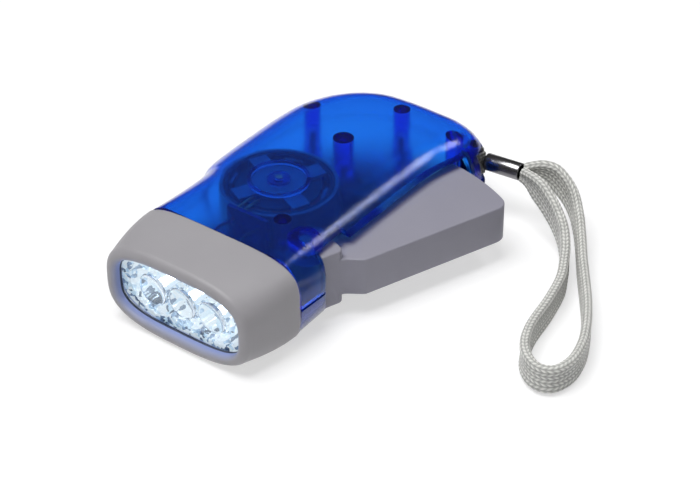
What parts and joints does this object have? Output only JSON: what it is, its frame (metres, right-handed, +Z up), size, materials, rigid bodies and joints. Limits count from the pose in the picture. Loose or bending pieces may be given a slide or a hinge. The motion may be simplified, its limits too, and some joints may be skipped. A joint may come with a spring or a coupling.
{
  "type": "squeeze dynamo torch",
  "caption": "Pocket torch with a see-through blue case, grey bezel, a squeeze lever that drives a flywheel dynamo, LED lamps and a braided wrist strap.",
  "frame": {"origin": "middle of the case's flat underside: half the torch's length, on the centre line of the head", "axes": "+X from the lens to the tail, +Y away from the lever, +Z up through the case as it lies in the picture"},
  "size_m": [0.1089, 0.1216, 0.0266],
  "materials": {
    "clear_blue": "see-through, polished",
    "grey_plastic": "fine satin texture",
    "clear_lens": "clear, polished",
    "chrome": "vacuum-metallised mirror",
    "lamp": "clear epoxy",
    "board": "solder-resist",
    "steel": "bright",
    "spring_steel": "drawn wire",
    "gear_white": "moulded acetal",
    "iron": "stamped and plated",
    "magnet": "sintered, dull",
    "bobbin_black": "moulded",
    "copper": "enamelled wire",
    "cell_wrap": "shrink sleeve",
    "wire_red": "sleeved wire",
    "wire_black": "sleeved wire",
    "nickel": "polished nickel",
    "braid": "soft tubular braid"
  },
  "bodies": {
    "case": {"upper_shell": "clear_blue", "lower_shell": "clear_blue", "bezel": "grey_plastic", "lens": "clear_lens", "reflector": "chrome", "led_near": "lamp", "led_middle": "lamp", "led_far": "lamp", "led_board": "board", "power_board": "board", "button_cells": "cell_wrap", "lever_pin": "steel", "step_axle": "steel", "ratchet_axle": "steel", "flywheel_axle": "steel", "claw_plate_upper": "iron", "claw_plate_lower": "iron", "coil_bobbin": "bobbin_black", "coil_winding": "copper", "coil_lead_a": "copper", "coil_lead_b": "copper", "lamp_wire_red": "wire_red", "lamp_wire_black": "wire_black", "case_screw_tail": "steel", "case_screw_strap": "steel", "case_screw_side": "steel", "case_screw_head": "steel", "strap_ferrule": "nickel", "strap_bight": "braid", "wrist_strap": "braid"},
    "lever_body": {"lever": "grey_plastic", "return_spring": "spring_steel"},
    "step_gear_body": {"step_gear": "gear_white"},
    "ratchet_pinion_body": {"ratchet_pinion": "gear_white"},
    "pawl_body": {"ratchet_pawl": "spring_steel"},
    "ratchet_wheel_body": {"ratchet_wheel": "gear_white"},
    "flywheel_body": {"flywheel": "steel", "flywheel_pinion": "gear_white", "ring_magnet": "magnet"}
  },
  "joints": [
    {"name": "lever_swing", "type": "hinge", "parent": "case", "child": "lever_body", "pos_m": [-0.0227, -0.0174, 0.013], "axis": [0, 0, 1], "range_deg": [0, 20], "stiffness_Nm_per_rad": 0.1, "springref_deg": -17.19},
    {"name": "step_gear_spin", "type": "hinge", "parent": "case", "child": "step_gear_body", "pos_m": [0.0208, 0.00289, 0.008], "axis": [0, 0, 1], "range_deg": [-220, 0]},
    {"name": "ratchet_pinion_spin", "type": "hinge", "parent": "case", "child": "ratchet_pinion_body", "pos_m": [0.00684, 0.00836, 0.005], "axis": [0, 0, 1], "range_deg": [0, 880]},
    {"name": "pawl_swing", "type": "hinge", "parent": "ratchet_pinion_body", "child": "pawl_body", "pos_m": [0.01114, 0.00836, 0.006], "axis": [0, 0, -1], "range_deg": [0, 14]},
    {"name": "flywheel_spin", "type": "hinge", "parent": "case", "child": "flywheel_body", "pos_m": [-0.0053, 0.005, 0.013], "axis": [0, 0, 1], "continuous": true},
    {"name": "ratchet_wheel_spin", "type": "hinge", "parent": "case", "child": "ratchet_wheel_body", "pos_m": [0.00684, 0.00836, 0.0065], "axis": [0, 0, 1], "continuous": true}
  ],
  "couplings": [
    {"joint": "step_gear_spin", "follows": "lever_swing", "ratio": -11},
    {"joint": "ratchet_pinion_spin", "follows": "lever_swing", "ratio": 44},
    {"joint": "ratchet_wheel_spin", "follows": "flywheel_spin", "ratio": -0.3125}
  ]
}
